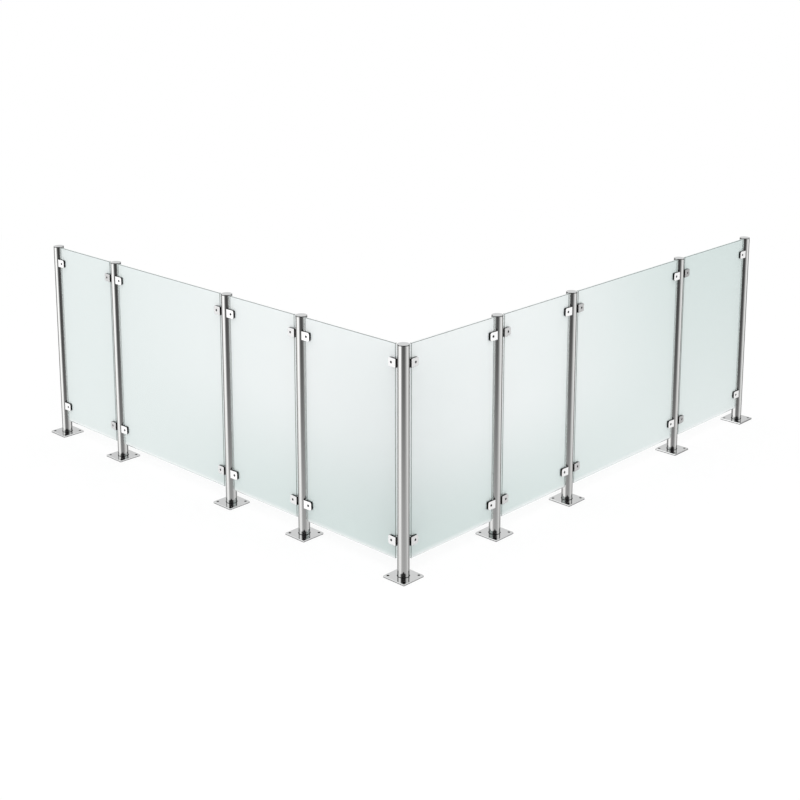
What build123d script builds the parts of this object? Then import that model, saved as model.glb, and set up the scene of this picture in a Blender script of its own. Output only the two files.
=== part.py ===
# Corner run of a frosted polycarbonate fence: nine round steel posts on base plates carry eight
# panels, each held at its two upright edges by four clamps.
# The origin is on the corner post's axis at floor level. One wing runs along -X with its outer face
# towards -Y, the other along +Y with its outer face towards +X. Everything is in millimetres.

import os

from build123d import *

# Posts
post_height = 1000.0  # floor to the top of the cap
tube_diameter = 50.8
tube_wall = 2.0
cap_thickness = 4.0

# Base plates
plate_side = 118.0
plate_thickness = 8.0
bolt_hole_diameter = 12.0
bolt_hole_inset = 14.0  # plate edge to hole centre

# Post spacings along each wing, post axis to post axis, counted outwards from the corner post
left_bay_1 = 600.0
left_bay_2 = 495.0
left_bay_3 = 840.0
left_bay_4 = 490.0
right_bay_1 = 580.0
right_bay_2 = 520.0
right_bay_3 = 870.0
right_bay_4 = 615.0

# Panels
panel_thickness = 10.0
panel_offset = 7.5  # middle of the panel's thickness outside the line of the post axes
panel_gap = 7.6  # tube to the panel's upright edge
panel_bottom = 75.0  # above the floor
panel_top_drop = 2.0  # below the cap tops

# Clamps
clamp_length = 44.0
clamp_height = 38.0
clamp_corner_cut = 5.0  # 45 degree cut at each outer corner
clamp_inset = 80.0  # panel's top or bottom edge to the middle of the clamp
clamp_wrap = 1.9  # how far the clamp's ends reach back round the tube
saddle_clearance = 0.3
jaw_thickness = 13.0
gasket_thickness = 2.0
cover_thickness = 8.5
screw_setback = 18.0  # clamp's outer end to the screw
socket_across_flats = 6.0
socket_depth = 3.5

# Sizes that follow from those above
left_bays = (left_bay_1, left_bay_2, left_bay_3, left_bay_4)
right_bays = (right_bay_1, right_bay_2, right_bay_3, right_bay_4)
tube_radius = tube_diameter / 2
bore_radius = tube_radius - tube_wall
tube_top = post_height - cap_thickness
panel_end = tube_radius + panel_gap  # from the post axis, along the wing
panel_top = post_height - panel_top_drop
panel_back = panel_offset - panel_thickness / 2  # from the line of post axes, outwards
gasket_back = panel_back - gasket_thickness
cover_seat = panel_back + panel_thickness + gasket_thickness
jaw_back = gasket_back - jaw_thickness
clamp_start = tube_radius - clamp_wrap
clamp_end = clamp_start + clamp_length
slot_floor = panel_end - gasket_thickness
gasket_setback = clamp_corner_cut / 2  # keeps the gasket's square corners inside the clamp's cut ones
clamp_heights = (panel_bottom + clamp_inset, panel_top - clamp_inset)


def post_places():
    """The post axes in order, from the far end of one wing round the corner to the other."""
    left = []
    x = 0.0
    for bay in left_bays:
        x -= bay
        left.append((x, 0.0))
    right = []
    y = 0.0
    for bay in right_bays:
        y += bay
        right.append((0.0, y))
    return [*reversed(left), (0.0, 0.0), *right]


def export(part, name):
    part.label = name
    export_step(part, f"parts/{name}.step")


# Posts

def make_tube(name, place):
    with BuildPart() as tube:
        with BuildSketch(Plane.XY.offset(plate_thickness)):
            with Locations(place):
                Circle(tube_radius)
                Circle(bore_radius, mode=Mode.SUBTRACT)
        extrude(amount=tube_top - plate_thickness)
    export(tube.part, name)


def make_caps(name, places):
    with BuildPart() as caps:
        with BuildSketch(Plane.XY.offset(tube_top)):
            with Locations(*places):
                Circle(tube_radius)
        extrude(amount=cap_thickness)
    export(caps.part, name)


def make_base_plates(name, places):
    bolt_spacing = plate_side - 2 * bolt_hole_inset
    with BuildPart() as plates:
        with BuildSketch():
            with Locations(*places):
                Rectangle(plate_side, plate_side)
                with GridLocations(bolt_spacing, bolt_spacing, 2, 2):
                    Circle(bolt_hole_diameter / 2, mode=Mode.SUBTRACT)
        extrude(amount=plate_thickness)
    export(plates.part, name)


# Panels

def make_panel(name, first, last, along, outward):
    span = (Vector(*last) - Vector(*first)).length
    middle = (Vector(*first) + Vector(*last)) / 2 + Vector(0, 0, (panel_bottom + panel_top) / 2)
    back_face = Plane(origin=middle, x_dir=along, z_dir=outward).offset(panel_back)
    with BuildPart() as panel:
        with BuildSketch(back_face):
            Rectangle(span - 2 * panel_end, panel_top - panel_bottom)
        extrude(amount=panel_thickness)
    export(panel.part, name)


# Clamps. Each one has a plane on its post's axis, with X along the panel and Z outwards.

def clamp_planes(first, last, along, outward):
    planes = []
    for post, inwards in ((first, along), (last, -along)):
        for height in clamp_heights:
            planes.append(Plane(origin=(*post, height), x_dir=inwards, z_dir=outward))
    return planes


def clamp_outline(planes, depth, start, setback=0.0, corner_cut=0.0):
    """A rectangle from start to the clamp's outer end, on each plane moved outwards by depth."""
    length = clamp_end - setback - start
    with BuildSketch(*(plane.offset(depth) for plane in planes)) as outline:
        with Locations((start + length / 2, 0)):
            Rectangle(length, clamp_height - 2 * setback)
        if corner_cut:
            chamfer(outline.vertices().group_by(Axis.X)[-1], corner_cut)
    return outline.sketch


def make_clamp_bodies(name, planes, posts):
    with BuildPart() as bodies:
        block = clamp_outline(planes, jaw_back, clamp_start, corner_cut=clamp_corner_cut)
        extrude(block, amount=cover_seat - jaw_back)
        # the slot leaves a jaw behind the panel and a wall at the post
        slot = clamp_outline(planes, gasket_back, slot_floor)
        extrude(slot, amount=cover_seat - gasket_back, mode=Mode.SUBTRACT)
        # the saddle that seats on the tube
        with BuildSketch():
            with Locations(*posts):
                Circle(tube_radius + saddle_clearance)
        extrude(amount=post_height, mode=Mode.SUBTRACT)
    export(bodies.part, name)


def make_clamp_gaskets(name, planes):
    with BuildPart() as gaskets:
        block = clamp_outline(planes, gasket_back, slot_floor, setback=gasket_setback)
        extrude(block, amount=cover_seat - gasket_back)
        # folded round the panel's edge
        slot = clamp_outline(planes, panel_back, panel_end)
        extrude(slot, amount=panel_thickness, mode=Mode.SUBTRACT)
    export(gaskets.part, name)


def make_clamp_covers(name, planes):
    socket_planes = [plane.offset(cover_seat + cover_thickness) for plane in planes]
    with BuildPart() as covers:
        plate = clamp_outline(planes, cover_seat, clamp_start, corner_cut=clamp_corner_cut)
        extrude(plate, amount=cover_thickness)
        # the screw's hexagon socket
        with BuildSketch(*socket_planes):
            with Locations((clamp_end - screw_setback, 0)):
                RegularPolygon(socket_across_flats / 2, 6, major_radius=False)
        extrude(amount=-socket_depth, mode=Mode.SUBTRACT)
    export(covers.part, name)


def make_fence():
    os.makedirs("parts", exist_ok=True)
    posts = post_places()
    corner = len(left_bays)
    for number, place in enumerate(posts, start=1):
        make_tube(f"post_tube_{number}", place)
    for wing, places in (("left", posts[: corner + 1]), ("right", posts[corner + 1 :])):
        make_caps(f"post_caps_{wing}", places)
        make_base_plates(f"base_plates_{wing}", places)
    for number, (first, last) in enumerate(zip(posts, posts[1:]), start=1):
        if number <= corner:
            along, outward = Vector(1, 0, 0), Vector(0, -1, 0)
        else:
            along, outward = Vector(0, 1, 0), Vector(1, 0, 0)
        make_panel(f"panel_{number}", first, last, along, outward)
        planes = clamp_planes(first, last, along, outward)
        make_clamp_bodies(f"clamp_bodies_{number}", planes, (first, last))
        make_clamp_gaskets(f"clamp_gaskets_{number}", planes)
        make_clamp_covers(f"clamp_covers_{number}", planes)


make_fence()
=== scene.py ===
import math

import bmesh
import bpy
from mathutils import Matrix, Vector


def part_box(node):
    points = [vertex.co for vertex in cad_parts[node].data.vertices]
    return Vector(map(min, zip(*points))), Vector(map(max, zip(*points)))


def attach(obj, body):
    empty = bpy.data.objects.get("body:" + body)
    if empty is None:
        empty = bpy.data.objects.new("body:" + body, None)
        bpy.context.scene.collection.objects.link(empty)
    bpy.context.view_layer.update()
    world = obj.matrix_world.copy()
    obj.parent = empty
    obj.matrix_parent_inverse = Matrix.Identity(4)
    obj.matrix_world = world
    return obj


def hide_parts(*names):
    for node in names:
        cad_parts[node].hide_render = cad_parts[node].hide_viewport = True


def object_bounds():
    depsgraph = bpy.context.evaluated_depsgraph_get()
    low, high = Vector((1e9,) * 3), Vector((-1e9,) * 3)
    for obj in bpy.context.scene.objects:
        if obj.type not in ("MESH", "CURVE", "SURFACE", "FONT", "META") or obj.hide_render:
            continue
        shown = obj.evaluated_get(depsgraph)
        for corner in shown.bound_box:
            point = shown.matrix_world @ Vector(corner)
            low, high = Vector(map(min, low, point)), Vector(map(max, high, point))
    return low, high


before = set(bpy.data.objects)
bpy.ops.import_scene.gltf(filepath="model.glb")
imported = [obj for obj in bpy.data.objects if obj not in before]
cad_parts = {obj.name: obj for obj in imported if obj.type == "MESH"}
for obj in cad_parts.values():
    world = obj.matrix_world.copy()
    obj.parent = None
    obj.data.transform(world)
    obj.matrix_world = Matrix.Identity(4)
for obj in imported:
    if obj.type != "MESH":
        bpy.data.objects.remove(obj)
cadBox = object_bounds()
print("frame loaded")

mm = 0.001  # Blender works in metres
up = Vector((0, 0, 1))

panelCount = 8
leftPanels = 4  # panels 1 to 4 stand in the left wing, 5 to 8 in the right wing
postCount = panelCount + 1
cornerPost = leftPanels + 1  # it and those before it are the left wing's


# the way the panels of a wing run from post to post, and the way their outer faces look
def wingOf(panelNumber):
    if panelNumber <= leftPanels:
        return Vector((1, 0, 0)), Vector((0, -1, 0))
    return Vector((0, 1, 0)), Vector((1, 0, 0))


# Materials

def hexToLinear(code):
    channels = []
    for start in (0, 2, 4):
        value = int(code[start:start + 2], 16) / 255
        channels.append(value / 12.92 if value <= 0.04045 else ((value + 0.055) / 1.055) ** 2.4)
    return (*channels, 1.0)


# an input given as a socket is linked, and any other is set
def addNode(tree, kind, inputs=None, **settings):
    node = tree.nodes.new(kind)
    for name, value in settings.items():
        setattr(node, name, value)
    for socket, value in (inputs or {}).items():
        if isinstance(value, bpy.types.NodeSocket):
            tree.links.new(value, node.inputs[socket])
        else:
            node.inputs[socket].default_value = value
    return node


def newMaterial(name, sockets):
    material = bpy.data.materials.new(name)
    material.use_nodes = True
    shader = material.node_tree.nodes["Principled BSDF"]
    for socket, value in sockets.items():
        shader.inputs[socket].default_value = value
    return material


def evenFinish(name, look):
    return newMaterial(name, {
        "Base Color": hexToLinear(look["colour"]),
        "Metallic": look["metallic"],
        "Roughness": look["roughness"],
    })


# the roughness moves between two values with the grain, whose sizes along X, Y and Z are in mm
def grainedFinish(name, look):
    material = newMaterial(name, {
        "Base Color": hexToLinear(look["colour"]),
        "Metallic": look["metallic"],
    })
    tree = material.node_tree
    smoothest, roughest = look["roughness"]
    place = addNode(tree, "ShaderNodeTexCoord")
    spread = addNode(tree, "ShaderNodeMapping", {
        "Vector": place.outputs["Object"],
        "Scale": tuple(1 / (size * mm) for size in look["grain"]),
    })
    noise = addNode(tree, "ShaderNodeTexNoise", {
        "Vector": spread.outputs["Vector"],
        "Scale": 1.0,
        "Detail": 2.0,
    })
    roughness = addNode(tree, "ShaderNodeMapRange", {
        "Value": noise.outputs["Fac"],
        "To Min": smoothest,
        "To Max": roughest,
    })
    tree.links.new(roughness.outputs["Result"], tree.nodes["Principled BSDF"].inputs["Roughness"])
    return material


# stainless tube, belt-ground along its length to a satin: soft, stretched reflections
satinSteel = grainedFinish("beltGroundStainlessTube", {
    "colour": "D3D3D2",
    "metallic": 1.0,
    "roughness": (0.12, 0.17),
    "grain": (9.0, 9.0, 220.0),  # grinding lines are finer than a pixel, so they are drawn coarser
})

# laser-cut stainless plates and pressed caps, wheel-polished: nearly mirror-like, faintly cloudy
polishedSteel = grainedFinish("wheelPolishedStainlessPlate", {
    "colour": "D6D7D7",
    "metallic": 1.0,
    "roughness": (0.03, 0.05),
    "grain": (40.0, 40.0, 40.0),
})

# investment-cast stainless clamps, grainy, in two painted copies of one steel: the covers' faces
# and the bodies painted near white as lit, the covers' sides painted near black as shade
castSteel = {
    "metallic": 1.0,
    "roughness": (0.22, 0.3),
    "grain": (1.5, 1.5, 1.5),
}
clampLitSteel = grainedFinish("castStainlessPaintedLit", {"colour": "F2F2F2", **castSteel})
clampShadedSideSteel = grainedFinish("castStainlessPaintedShade", {"colour": "101011", **castSteel})

# walls of the plates' holes and the lower part of their edges, dull and painted dark: painted
# shade in the holes, and a painted contact shadow along the foot
plateShadeSteel = evenFinish("plateWallPaintedShade", {
    "colour": "17181A",
    "metallic": 1.0,
    "roughness": 0.5,
})

# weld bead, not ground: dull, and painted dark as the shade in the crease where the tube meets the
# plate
weldShadeSteel = evenFinish("footWeldPaintedShade", {
    "colour": "232426",
    "metallic": 1.0,
    "roughness": 0.5,
})

# cap screw with a hexagon socket, black oxide: reads as a dark dot on the bright clamp
screwSteel = evenFinish("blackOxideScrew", {
    "colour": "151617",
    "metallic": 1.0,
    "roughness": 0.4,
})

# moulded EPDM gaskets: matt black; the same black is painted on the ring under each cap as the cap
# rim's dark reflection
gasketRubberAndCapShade = grainedFinish("mouldedEpdmGasketAndCapShadeRing", {
    "colour": "161718",
    "metallic": 0.0,
    "roughness": (0.6, 0.75),
    "grain": (0.8, 0.8, 0.8),
})

sheet = {
    "index": 1.585,  # polycarbonate
    "clearColour": "FFFFFF",
    "frontRoughness": 0.04,
    "edgeRoughness": 0.1,
    "arrisShadeColour": "4A5552",
    "arrisRoughness": 0.3,
    "frostRoughness": 0.5,
    "frostThrough": 0.98,  # share of the light that the frost lets through, scattered
    # The frost's tint is 0 at its palest and 1 at its deepest, and its deepening is painted shade.
    # Near the corner it deepens from paleAbove down to deepBelow, in metres above the floor.
    # Towards the run's ends it goes over to endTintLow at the floor and endTintTop a metre above
    # it. The wings differ as the light on them differs.
    "frostPaleTint": "F6FAFA",
    "frostShadedTint": "DBE7E5",
    "paleAbove": {"left": 0.7, "right": 0.62},
    "deepBelow": {"left": 0.03, "right": 0.05},
    "endTintLow": {"left": 0.62, "right": 0.54},
    "endTintTop": {"left": 0.55, "right": 1.0},
    "cornerReach": 0.4,  # metres from the corner post's axis, where the tint starts to go over
    "endsFrom": 2.2,  # and where it has
    "litBelow": 0.094,  # the lowest strip is painted paler, as painted light coming through the sheet's lower edge
    "litBottom": 0.076,
    "litTint": 0.15,  # share of the tint that is left there
}


def clearSheet(name, roughness):
    return newMaterial(name, {
        "Base Color": hexToLinear(sheet["clearColour"]),
        "IOR": sheet["index"],
        "Roughness": roughness,
        "Transmission Weight": 1.0,
    })


# the sheet's back, grit-blasted: scatters all that shows through; its pale green-white tint is
# darkened towards the corner and the floor as painted shade, and paler in the lowest strip as
# painted light
def makeFrost():
    material = newMaterial("gritBlastedPolycarbonate", {
        "IOR": sheet["index"],
        "Roughness": sheet["frostRoughness"],
    })
    tree = material.node_tree
    shader = tree.nodes["Principled BSDF"]
    place = addNode(tree, "ShaderNodeTexCoord").outputs["Object"]
    parts = addNode(tree, "ShaderNodeSeparateXYZ", {0: place})
    height = parts.outputs["Z"]

    isRight = addNode(tree, "ShaderNodeMath", {
        0: parts.outputs["Y"],
        1: 0.0,
    }, operation="GREATER_THAN")
    ofWing = {}
    for name in ("paleAbove", "deepBelow", "endTintLow", "endTintTop"):
        choice = addNode(tree, "ShaderNodeMix", {
            "Factor": isRight.outputs["Value"],
            "A": sheet[name]["left"],
            "B": sheet[name]["right"],
        })
        ofWing[name] = choice.outputs["Result"]

    nearCorner = addNode(tree, "ShaderNodeMapRange", {
        "Value": height,
        "From Min": ofWing["paleAbove"],
        "From Max": ofWing["deepBelow"],
    }, interpolation_type="SMOOTHSTEP")
    nearEnds = addNode(tree, "ShaderNodeMix", {
        "Factor": height,
        "A": ofWing["endTintLow"],
        "B": ofWing["endTintTop"],
    })
    level = addNode(tree, "ShaderNodeVectorMath", {0: place, 1: (1, 1, 0)}, operation="MULTIPLY")
    away = addNode(tree, "ShaderNodeVectorMath", {0: level.outputs["Vector"]}, operation="LENGTH")
    far = addNode(tree, "ShaderNodeMapRange", {
        "Value": away.outputs["Value"],
        "From Min": sheet["cornerReach"],
        "From Max": sheet["endsFrom"],
    }, interpolation_type="SMOOTHSTEP")
    upperTint = addNode(tree, "ShaderNodeMix", {
        "Factor": far.outputs["Result"],
        "A": nearCorner.outputs["Result"],
        "B": nearEnds.outputs["Result"],
    })
    lowestShare = addNode(tree, "ShaderNodeMapRange", {
        "Value": height,
        "From Min": sheet["litBottom"],
        "From Max": sheet["litBelow"],
        "To Min": sheet["litTint"],
    })
    # the share of painted shade, less in the painted-light strip at the bottom
    paintedShade = addNode(tree, "ShaderNodeMath", {
        0: upperTint.outputs["Result"],
        1: lowestShare.outputs["Result"],
    }, operation="MULTIPLY")

    tint = addNode(tree, "ShaderNodeMix", {
        "Factor": paintedShade.outputs["Value"],
        "A": hexToLinear(sheet["frostPaleTint"]),
        "B": hexToLinear(sheet["frostShadedTint"]),
    }, data_type="RGBA")
    tree.links.new(tint.outputs["Result"], shader.inputs["Base Color"])
    through = addNode(tree, "ShaderNodeBsdfTranslucent", {"Color": tint.outputs["Result"]})
    skin = addNode(tree, "ShaderNodeMixShader", {
        0: sheet["frostThrough"],
        1: shader.outputs["BSDF"],
        2: through.outputs["BSDF"],
    })
    tree.links.new(skin.outputs["Shader"], tree.nodes["Material Output"].inputs["Surface"])
    return material


# extruded polycarbonate sheet: its front clear and glossy, as it left the polished rolls
sheetFront = clearSheet("extrudedPolycarbonateFace", sheet["frontRoughness"])

# its cut edges, flame-polished: clear, a little less smooth
sheetEdge = clearSheet("flamePolishedSheetEnd", sheet["edgeRoughness"])

# its upper and upright arrises: a thin grey-green line, painted shade for the dark line that the
# sheet's edges show
sheetArrisShade = newMaterial("sheetArrisPaintedShade", {
    "Base Color": hexToLinear(sheet["arrisShadeColour"]),
    "IOR": sheet["index"],
    "Roughness": sheet["arrisRoughness"],
})

sheetFrost = makeFrost()
print("materials made")


# Shared mesh steps

meshing = {
    "joinWithin": 0.01 * mm,
    "flatWithin": 1.0,  # degrees; faces that turn less than this are made one
    "sharpFrom": 30.0,  # degrees; edges that turn more are bevelled
    "smoothBelow": 20.0,  # degrees; flat faces stay flat beside their small bevels
    "square": 0.99,  # a face looks along an axis if its normal has more than this share there
    "upright": 0.3,  # and is upright if it has less than this share along Z
}


def finishPiece(name, shape, materials, node=None):
    bmesh.ops.recalc_face_normals(shape, faces=shape.faces)
    mesh = bpy.data.meshes.new(name)
    shape.to_mesh(mesh)
    shape.free()
    for material in materials:
        mesh.materials.append(material)
    mesh.shade_smooth()
    mesh.set_sharp_from_angle(angle=math.radians(meshing["smoothBelow"]))
    piece = bpy.data.objects.new(name, mesh)
    bpy.context.scene.collection.objects.link(piece)
    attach(piece, "root")
    if node:
        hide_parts(node)


# turns an outline of (radius, height) points round an upright axis
def turned(points, centre, steps, closed=True):
    shape = bmesh.new()
    corners = [shape.verts.new((radius, 0, height)) for radius, height in points]
    rims = [shape.edges.new(pair) for pair in zip(corners, corners[1:])]
    if closed:
        rims.append(shape.edges.new((corners[-1], corners[0])))
    bmesh.ops.spin(shape, geom=corners + rims, axis=up, cent=(0, 0, 0), dvec=(0, 0, 0),
                   angle=2 * math.pi, steps=steps, use_merge=True, use_duplicate=False)
    bmesh.ops.remove_doubles(shape, verts=shape.verts, dist=meshing["joinWithin"])
    bmesh.ops.translate(shape, verts=shape.verts, vec=centre)
    return shape


def addTo(shape, other):
    mesh = bpy.data.meshes.new("part")
    other.to_mesh(mesh)
    other.free()
    shape.from_mesh(mesh)
    bpy.data.meshes.remove(mesh)


# the points or the edges among what an operator has made
def newOnes(made, kind):
    return [item for item in made["geom"] if isinstance(item, kind)]


def joinFlatFaces(shape):
    bmesh.ops.dissolve_limit(shape, angle_limit=math.radians(meshing["flatWithin"]),
                             verts=shape.verts, edges=shape.edges)


# where it is limited, the bevel gets narrower sooner than run into its neighbours
def bevelSharp(shape, width, segments, above=-math.inf, limited=True):
    edges = [edge for edge in shape.edges
             if edge.is_manifold and edge.calc_face_angle() > math.radians(meshing["sharpFrom"])
             and min(vert.co.z for vert in edge.verts) > above]
    bmesh.ops.bevel(shape, geom=edges, offset=width, offset_type="OFFSET", segments=segments,
                    profile=0.5, affect="EDGES", material=-1, clamp_overlap=limited)


# the CAD solid with its loose triangles joined and its flat faces whole again
def mergedCopy(node):
    shape = bmesh.new()
    shape.from_mesh(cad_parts[node].data)
    bmesh.ops.remove_doubles(shape, verts=shape.verts, dist=meshing["joinWithin"])
    joinFlatFaces(shape)
    return shape


# Posts

# a tube's radius, and where its axis stands
def tubeAxis(number):
    low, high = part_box(f"post_tube_{number}")
    return (high.x - low.x) / 2, Vector(((low.x + high.x) / 2, (low.y + high.y) / 2, 0))


tube = {
    "segments": 96,
    "wall": 2.0 * mm,
    "rimBevel": 0.4 * mm,
}


def makeTube(number):
    node = f"post_tube_{number}"
    low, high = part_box(node)
    radius, axis = tubeAxis(number)
    bore = radius - tube["wall"]
    soft = tube["rimBevel"]
    wall = [
        (bore, low.z), (radius - soft, low.z), (radius, low.z + soft),
        (radius, high.z - soft), (radius - soft, high.z), (bore, high.z),
    ]
    shape = turned(wall, axis, tube["segments"])
    finishPiece(f"tube{number}", shape, [satinSteel], node)


cap = {
    "segments": 96,
    "topBevel": 0.8 * mm,
    "bevelCut": 0.3,  # how far the bevel's middle stands in from the corner, as a share of it
    "darkRingHeight": 2.9 * mm,  # the dark ring between the cap and the tube, painted black as the dark reflection in the cap's rim
    "darkRingInset": 0.6 * mm,
}


def makeCaps(wing, numbers):
    node = f"post_caps_{wing}"
    low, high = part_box(node)
    darkRingTop = low.z + cap["darkRingHeight"]
    soft = cap["topBevel"]
    cut = cap["bevelCut"] * soft
    shape = bmesh.new()
    for number in numbers:
        radius, axis = tubeAxis(number)
        ringRadius = radius - cap["darkRingInset"]
        disc = [
            (0, low.z), (ringRadius, low.z), (ringRadius, darkRingTop), (radius, darkRingTop), (radius, high.z - soft),
            (radius - cut, high.z - cut), (radius - soft, high.z), (0, high.z),
        ]
        addTo(shape, turned(disc, axis, cap["segments"], closed=False))
    for face in shape.faces:
        # the ring's faces take the black, a painted reflection of the cap's rim
        isDarkRing = face.calc_center_median().z < darkRingTop - meshing["joinWithin"]
        face.material_index = 1 if isDarkRing else 0
    finishPiece(f"caps_{wing}", shape, [polishedSteel, gasketRubberAndCapShade], node)


plate = {
    "edgeBevel": 0.9 * mm,
    "edgeSegments": 2,
    "shadowedFoot": 2.6 * mm,  # the lower part of the plate's edge, painted dark as the contact shadow along the floor
    "edgeReach": 3.0 * mm,  # a wall farther than this from the plate's outline is a hole's
}


def makePlates(wing, numbers):
    node = f"base_plates_{wing}"
    low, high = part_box(node)
    side = min(high.x - low.x, high.y - low.y)  # the plates stand in line, so this is one plate's
    half = side / 2 - plate["edgeReach"]
    axes = [tubeAxis(number)[1] for number in numbers]
    shape = mergedCopy(node)
    bevelSharp(shape, plate["edgeBevel"], plate["edgeSegments"])
    bmesh.ops.bisect_plane(shape, geom=shape.verts[:] + shape.edges[:] + shape.faces[:],
                           plane_co=(0, 0, plate["shadowedFoot"]), plane_no=up)
    shape.normal_update()
    for face in shape.faces:
        middle = face.calc_center_median()
        inHole = any(max(abs(middle.x - axis.x), abs(middle.y - axis.y)) < half for axis in axes)
        isWall = abs(face.normal.z) < meshing["upright"]
        # hole walls and the edges' lower strip take the painted shade
        face.material_index = 1 if isWall and (inHole or middle.z < plate["shadowedFoot"]) else 0
    finishPiece(f"plates_{wing}", shape, [polishedSteel, plateShadeSteel], node)


weld = {
    "segments": 64,
    "size": 1.9 * mm,
    "bulge": 0.6,  # how far the bead's middle stands out and up, as a share of its size
}


# the narrow bead round each tube's foot, which shows as a dark line on the plate
def makeWelds(numbers):
    size = weld["size"]
    bulge = weld["bulge"] * size
    shape = bmesh.new()
    for number in numbers:
        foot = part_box(f"post_tube_{number}")[0].z
        radius, axis = tubeAxis(number)
        bead = [
            (radius, foot), (radius + size, foot),
            (radius + bulge, foot + bulge), (radius, foot + size),
        ]
        addTo(shape, turned(bead, axis, weld["segments"]))
    # the bead's dark colour is painted shade in the crease at each tube's foot
    finishPiece("footWelds", shape, [weldShadeSteel])


posts = range(1, postCount + 1)
for number in posts:
    makeTube(number)
makeWelds(posts)
for wing, numbers in (("left", posts[:cornerPost]), ("right", posts[cornerPost:])):
    makeCaps(wing, numbers)
    makePlates(wing, numbers)
print("posts made")


# Panels

panel = {"arris": 1.5 * mm}


def makePanel(number):
    node = f"panel_{number}"
    low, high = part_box(node)
    along, outward = wingOf(number)
    shape = bmesh.new()
    bmesh.ops.create_cube(shape, size=1.0)
    bmesh.ops.scale(shape, vec=high - low, verts=shape.verts)
    bmesh.ops.translate(shape, vec=(low + high) / 2, verts=shape.verts)
    bmesh.ops.bevel(shape, geom=shape.edges, offset=panel["arris"], offset_type="OFFSET",
                    segments=1, profile=0.5, affect="EDGES", material=-1)
    shape.normal_update()
    square = meshing["square"]
    materials = [sheetFront, sheetFrost, sheetEdge, sheetArrisShade]
    for face in shape.faces:
        facing = face.normal.dot(outward)
        rise = face.normal.z
        if facing > square:
            material = sheetFront
        elif facing < -square:
            material = sheetFrost
        elif abs(face.normal.dot(along)) > square or rise > square or rise < -meshing["upright"]:
            material = sheetEdge  # the lower arrises have it too
        else:
            # the remaining arrises take the painted-shade line
            material = sheetArrisShade
        face.material_index = materials.index(material)
    finishPiece(f"sheet{number}", shape, materials, node)


for number in range(1, panelCount + 1):
    makePanel(number)
print("panels made")


# Clamps

clamp = {
    "length": 44.0 * mm,
    "height": 38.0 * mm,
    "cornerRadius": 8.0 * mm,
    "cornerSegments": 8,
    "faceBevel": 0.5 * mm,
    "faceBevelSegments": 2,
    "faceFall": 3.0 * mm,  # the face slopes back from the post to the outer end
    "bodyBevel": 0.4 * mm,
    "bodyBevelSegments": 1,
    "screwFromEnd": 18.0 * mm,
    "holeRadius": 5.3 * mm,
    "headRadius": 5.0 * mm,
    "headDepth": 2.88 * mm,
    "headSegments": 28,  # the hole's too
    "headSunk": 0.6 * mm,
    "socketSides": 6,
    "socketAcrossFlats": 5.0 * mm,
    "socketDepth": 2.4 * mm,
}


# the four places of a panel's clamps, at the cover's post side, half its height and its back;
# there X runs from the post along the panel and Z outwards
def clampPlaces(number):
    low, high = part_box(f"clamp_covers_{number}")
    along, outward = wingOf(number)
    back = min(low.dot(outward), high.dot(outward))
    places = []
    for near, inwards in ((low, along), (high, -along)):
        for height in (low.z + clamp["height"] / 2, high.z - clamp["height"] / 2):
            origin = along * near.dot(along) + outward * back + up * height
            side = outward.cross(inwards)
            turn = Matrix((inwards, side, outward)).transposed().to_4x4()
            places.append(Matrix.Translation(origin) @ turn)
    return places


def coverThickness(number):
    low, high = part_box(f"clamp_covers_{number}")
    outward = wingOf(number)[1]
    return abs((high - low).dot(outward))


# an outline with two round corners and the screw's hole, thickened, its face sloped and bevelled
def makeCoverShape(thickness):
    shape = bmesh.new()
    bmesh.ops.create_grid(shape, x_segments=1, y_segments=1, size=0.5)
    bmesh.ops.scale(shape, vec=(clamp["length"], clamp["height"], 1), verts=shape.verts)
    bmesh.ops.translate(shape, vec=(clamp["length"] / 2, 0, 0), verts=shape.verts)
    outer = [vert for vert in shape.verts if vert.co.x > clamp["length"] / 2]
    bmesh.ops.bevel(shape, geom=outer, offset=clamp["cornerRadius"], offset_type="OFFSET",
                    segments=clamp["cornerSegments"], profile=0.5, affect="VERTICES", material=-1)
    bmesh.ops.delete(shape, geom=shape.faces[:], context="FACES_ONLY")
    hole = bmesh.ops.create_circle(shape, cap_ends=False, segments=clamp["headSegments"],
                                   radius=clamp["holeRadius"])
    screwX = clamp["length"] - clamp["screwFromEnd"]
    bmesh.ops.translate(shape, vec=(screwX, 0, 0), verts=hole["verts"])
    bmesh.ops.triangle_fill(shape, edges=shape.edges, use_beauty=True)
    raised = newOnes(bmesh.ops.extrude_face_region(shape, geom=shape.faces[:]), bmesh.types.BMVert)
    bmesh.ops.translate(shape, vec=(0, 0, thickness), verts=raised)
    for vert in raised:
        vert.co.z -= clamp["faceFall"] * vert.co.x / clamp["length"]
    joinFlatFaces(shape)
    bmesh.ops.recalc_face_normals(shape, faces=shape.faces)
    bevelSharp(shape, clamp["faceBevel"], clamp["faceBevelSegments"], above=thickness / 2,
               limited=False)
    shape.normal_update()
    for face in shape.faces:
        # the faces take the painted lit copy, the upright sides the painted-shade copy
        face.material_index = 0 if face.normal.z > meshing["upright"] else 1
    return shape


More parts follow.
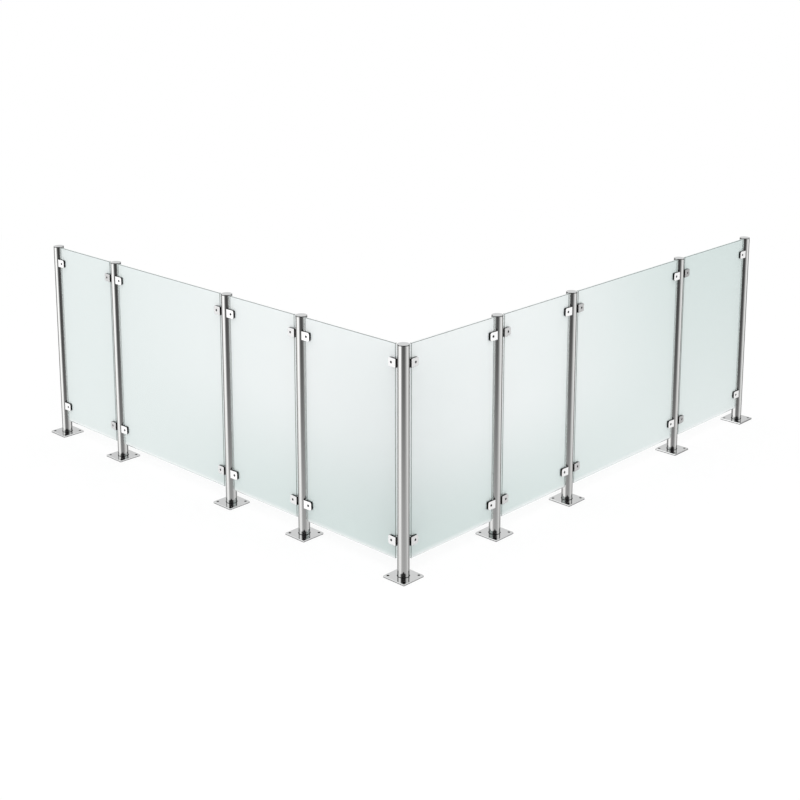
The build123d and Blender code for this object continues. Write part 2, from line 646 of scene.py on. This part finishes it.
# a flat head with a hexagon socket, sunk a little below the cover's face
def makeScrewShape(thickness):
    shape = bmesh.new()
    bmesh.ops.create_circle(shape, cap_ends=False, segments=clamp["headSegments"],
                            radius=clamp["headRadius"])
    socket = bmesh.ops.create_circle(shape, cap_ends=False, segments=clamp["socketSides"],
                                     radius=clamp["socketAcrossFlats"] / math.sqrt(3))
    hexagon = [edge for edge in shape.edges if all(vert in socket["verts"] for vert in edge.verts)]
    bmesh.ops.triangle_fill(shape, edges=shape.edges, use_beauty=True)
    rim = [edge for edge in shape.edges if edge.is_boundary and edge not in hexagon]
    skirt = bmesh.ops.extrude_edge_only(shape, edges=rim)
    bmesh.ops.translate(shape, vec=(0, 0, -clamp["headDepth"]),
                        verts=newOnes(skirt, bmesh.types.BMVert))
    well = bmesh.ops.extrude_edge_only(shape, edges=hexagon)
    bmesh.ops.translate(shape, vec=(0, 0, -clamp["socketDepth"]),
                        verts=newOnes(well, bmesh.types.BMVert))
    bmesh.ops.contextual_create(shape, geom=newOnes(well, bmesh.types.BMEdge))
    bmesh.ops.contextual_create(shape, geom=newOnes(skirt, bmesh.types.BMEdge))
    screwX = clamp["length"] - clamp["screwFromEnd"]
    top = thickness - clamp["faceFall"] * screwX / clamp["length"] - clamp["headSunk"]
    bmesh.ops.translate(shape, vec=(screwX, 0, top), verts=shape.verts)
    return shape


def repeated(makeShape, number):
    shape = bmesh.new()
    for place in clampPlaces(number):
        one = makeShape(coverThickness(number))
        bmesh.ops.transform(one, matrix=place, verts=one.verts)
        addTo(shape, one)
    return shape


def makeClamps(number):
    covers = repeated(makeCoverShape, number)
    coverSteels = [clampLitSteel, clampShadedSideSteel]
    finishPiece(f"coverSet{number}", covers, coverSteels, f"clamp_covers_{number}")
    screws = repeated(makeScrewShape, number)
    finishPiece(f"screwSet{number}", screws, [screwSteel])
    node = f"clamp_bodies_{number}"
    bodies = mergedCopy(node)
    bevelSharp(bodies, clamp["bodyBevel"], clamp["bodyBevelSegments"])
    finishPiece(f"bodySet{number}", bodies, [clampLitSteel], node)
    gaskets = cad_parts[f"clamp_gaskets_{number}"]
    gaskets.data.materials.clear()
    gaskets.data.materials.append(gasketRubberAndCapShade)


for number in range(1, panelCount + 1):
    makeClamps(number)
print("clamps made")


# Floor and light

studio = {
    "floorSize": 160.0,
    "floorColour": "FFFFFF",
    "floorGlow": 0.86,  # the floor's own white as the camera sees it; the rest keeps the shadows
    "glowFrom": 2.6,  # metres from the fence's middle, where the floor starts to turn all white
    "glowTo": 5.5,
    "fill": 0.97,  # world light on the object
    "keyPower": 90.0,
    "keySize": 4.0,
    "keyPlace": (2.6, -2.7, 4.6),
}


def makePaper():
    material = bpy.data.materials.new("studioPaper")
    material.use_nodes = True
    material.cycles.emission_sampling = "NONE"  # else what shows through the sheets loses some
    tree = material.node_tree
    tree.nodes.clear()
    place = addNode(tree, "ShaderNodeTexCoord")
    away = addNode(tree, "ShaderNodeVectorMath", {0: place.outputs["Object"]}, operation="LENGTH")
    glowShare = addNode(tree, "ShaderNodeMapRange", {
        "Value": away.outputs["Value"],
        "From Min": studio["glowFrom"],
        "From Max": studio["glowTo"],
        "To Min": studio["floorGlow"],
        "To Max": 1.0,
    }, interpolation_type="SMOOTHSTEP")
    rays = addNode(tree, "ShaderNodeLightPath")
    seen = addNode(tree, "ShaderNodeMath", {
        0: rays.outputs["Is Camera Ray"],
        1: glowShare.outputs["Result"],
    }, operation="MULTIPLY")
    seenOrThrough = addNode(tree, "ShaderNodeMath", {
        0: seen.outputs["Value"],
        1: rays.outputs["Is Transmission Ray"],
    }, operation="MAXIMUM")
    colour = hexToLinear(studio["floorColour"])
    matt = addNode(tree, "ShaderNodeBsdfDiffuse", {"Color": colour})
    glow = addNode(tree, "ShaderNodeEmission", {"Color": colour, "Strength": 1.0})
    surface = addNode(tree, "ShaderNodeMixShader", {
        0: seenOrThrough.outputs["Value"],
        1: matt.outputs["BSDF"],
        2: glow.outputs["Emission"],
    })
    addNode(tree, "ShaderNodeOutputMaterial", {"Surface": surface.outputs["Shader"]})
    return material


def makeFloor():
    middle = (cadBox[0] + cadBox[1]) / 2
    shape = bmesh.new()
    bmesh.ops.create_grid(shape, x_segments=1, y_segments=1, size=studio["floorSize"] / 2)
    mesh = bpy.data.meshes.new("floor")
    shape.to_mesh(mesh)
    shape.free()
    mesh.materials.append(makePaper())
    floor = bpy.data.objects.new("floor", mesh)
    bpy.context.scene.collection.objects.link(floor)
    floor.location = (middle.x, middle.y, 0)
    floor.visible_glossy = False  # the steel mirrors the studio walls instead


# What the steel mirrors: walls round the studio, light with dark gaps between. Each pair gives a
# direction, in degrees from -Y towards +X, and its brightness. One set of bands gives way to the
# next between two heights, which are sines of the slope.
walls = {
    "low": [
        (0, 0.75), (18, 0.1), (43, 0.045), (64, 0.09), (80, 0.3), (95, 0.8), (118, 1.1),
        (138, 1.3), (144, 1.0), (150, 0.45), (165, 0.2), (185, 0.18), (215, 0.16), (240, 0.16),
        (262, 0.2), (290, 0.25), (303, 1.1), (330, 1.6), (350, 1.6), (360, 0.75),
    ],
    "floor": [
        (0, 1.0), (15, 0.66), (43, 0.6), (80, 0.58), (110, 0.65), (138, 0.95), (144, 0.85),
        (152, 0.5), (170, 0.4), (200, 0.4), (270, 0.45), (290, 0.5), (303, 1.0), (350, 1.2),
        (360, 1.0),
    ],
    "high": [
        (0, 0.12), (15, 0.04), (43, 0.02), (80, 0.04), (96, 0.7), (118, 1.2), (140, 0.9),
        (160, 0.15), (200, 0.1), (207, 0.8), (223, 0.9), (239, 0.8), (246, 0.1), (275, 0.1),
        (294, 0.5), (308, 1.4), (340, 1.5), (352, 0.6), (360, 0.12),
    ],
    "floorFrom": -0.27,
    "floorTo": -0.45,
    "highFrom": -0.03,
    "highTo": 0.15,
    "brightest": 2.0,  # a ramp holds colours up to 1, so it holds shares of this
}


def bandRamp(tree, turnShare, stops):
    ramp = addNode(tree, "ShaderNodeValToRGB", {"Fac": turnShare})
    elements = ramp.color_ramp.elements
    while len(elements) < len(stops):
        elements.new(0.5)
    for element, (degrees, brightness) in zip(elements, stops):
        element.position = degrees / 360
        share = brightness / walls["brightest"]
        element.color = (share, share, share, 1)
    band = addNode(tree, "ShaderNodeMath", {
        0: ramp.outputs["Color"],
        1: walls["brightest"],
    }, operation="MULTIPLY")
    return band.outputs["Value"]


def makeWorld():
    world = bpy.data.worlds.new("studioLight")
    bpy.context.scene.world = world
    world.use_nodes = True
    tree = world.node_tree
    tree.nodes.clear()
    direction = addNode(tree, "ShaderNodeTexCoord")
    parts = addNode(tree, "ShaderNodeSeparateXYZ", {0: direction.outputs["Generated"]})
    forward = addNode(tree, "ShaderNodeMath", {
        0: parts.outputs["Y"],
        1: -1.0,
    }, operation="MULTIPLY")
    angle = addNode(tree, "ShaderNodeMath", {
        0: parts.outputs["X"],
        1: forward.outputs["Value"],
    }, operation="ARCTAN2")
    turns = addNode(tree, "ShaderNodeMath", {
        0: angle.outputs["Value"],
        1: 2 * math.pi,
    }, operation="DIVIDE")
    turnShare = addNode(tree, "ShaderNodeMath", {0: turns.outputs["Value"]}, operation="FRACT")
    low, high, floor = (bandRamp(tree, turnShare.outputs["Value"], walls[band])
                        for band in ("low", "high", "floor"))
    sunk = addNode(tree, "ShaderNodeMapRange", {
        "Value": parts.outputs["Z"],
        "From Min": walls["floorFrom"],
        "From Max": walls["floorTo"],
    }, interpolation_type="SMOOTHSTEP")
    raised = addNode(tree, "ShaderNodeMapRange", {
        "Value": parts.outputs["Z"],
        "From Min": walls["highFrom"],
        "From Max": walls["highTo"],
    }, interpolation_type="SMOOTHSTEP")
    lower = addNode(tree, "ShaderNodeMix", {
        "Factor": sunk.outputs["Result"],
        "A": low,
        "B": floor,
    })
    bands = addNode(tree, "ShaderNodeMix", {
        "Factor": raised.outputs["Result"],
        "A": lower.outputs["Result"],
        "B": high,
    })

    rays = addNode(tree, "ShaderNodeLightPath")
    seenOrThrough = addNode(tree, "ShaderNodeMath", {
        0: rays.outputs["Is Camera Ray"],
        1: rays.outputs["Is Transmission Ray"],
    }, operation="MAXIMUM")
    plain = addNode(tree, "ShaderNodeMix", {
        "Factor": seenOrThrough.outputs["Value"],
        "A": studio["fill"],
        "B": 1.0,
    })
    # steel behind a frosted sheet mirrors plain white, so only rays that met no sheet count
    metNoSheet = addNode(tree, "ShaderNodeMath", {
        0: rays.outputs["Transmission Depth"],
        1: 0.5,
    }, operation="LESS_THAN")
    mirrored = addNode(tree, "ShaderNodeMath", {
        0: rays.outputs["Is Glossy Ray"],
        1: metNoSheet.outputs["Value"],
    }, operation="MULTIPLY")
    strength = addNode(tree, "ShaderNodeMix", {
        "Factor": mirrored.outputs["Value"],
        "A": plain.outputs["Result"],
        "B": bands.outputs["Result"],
    })
    light = addNode(tree, "ShaderNodeBackground", {
        "Color": (1, 1, 1, 1),
        "Strength": strength.outputs["Result"],
    })
    addNode(tree, "ShaderNodeOutputWorld", {"Surface": light.outputs["Background"]})


def makeKeyLight():
    light = bpy.data.lights.new("softBox", "AREA")
    light.shape = "SQUARE"
    light.size = studio["keySize"]
    light.energy = studio["keyPower"]
    lamp = bpy.data.objects.new("softBox", light)
    bpy.context.scene.collection.objects.link(lamp)
    lamp.location = studio["keyPlace"]
    lamp.visible_glossy = False
    aim = (cadBox[0] + cadBox[1]) / 2 - lamp.location
    lamp.rotation_euler = aim.to_track_quat("-Z", "Y").to_euler()


makeFloor()
makeWorld()
makeKeyLight()
print("studio made")


# Camera: at the photograph's viewing angle

view = {
    "place": (3.865, -4.062, 2.738),
    "azimuth": 43.72,
    "pitch": 11.63,
    "focalPixels": 1469.0,
    "imagePixels": 800.0,
    "shift": -0.25,  # keeps the posts nearly upright, as in the photograph
    "sensorWidth": 36.0,
    "clipEnd": 400.0,
}


def makeCamera():
    data = bpy.data.cameras.new("camera")
    data.sensor_width = view["sensorWidth"]
    data.lens = view["focalPixels"] / view["imagePixels"] * view["sensorWidth"]
    data.shift_y = view["shift"]
    data.clip_end = view["clipEnd"]
    camera = bpy.data.objects.new("camera", data)
    bpy.context.scene.collection.objects.link(camera)
    camera.location = view["place"]
    camera.rotation_euler = (math.radians(90 - view["pitch"]), 0, math.radians(view["azimuth"]))
    bpy.context.scene.camera = camera


makeCamera()
bpy.context.scene.view_settings.view_transform = "Standard"
print("camera made")
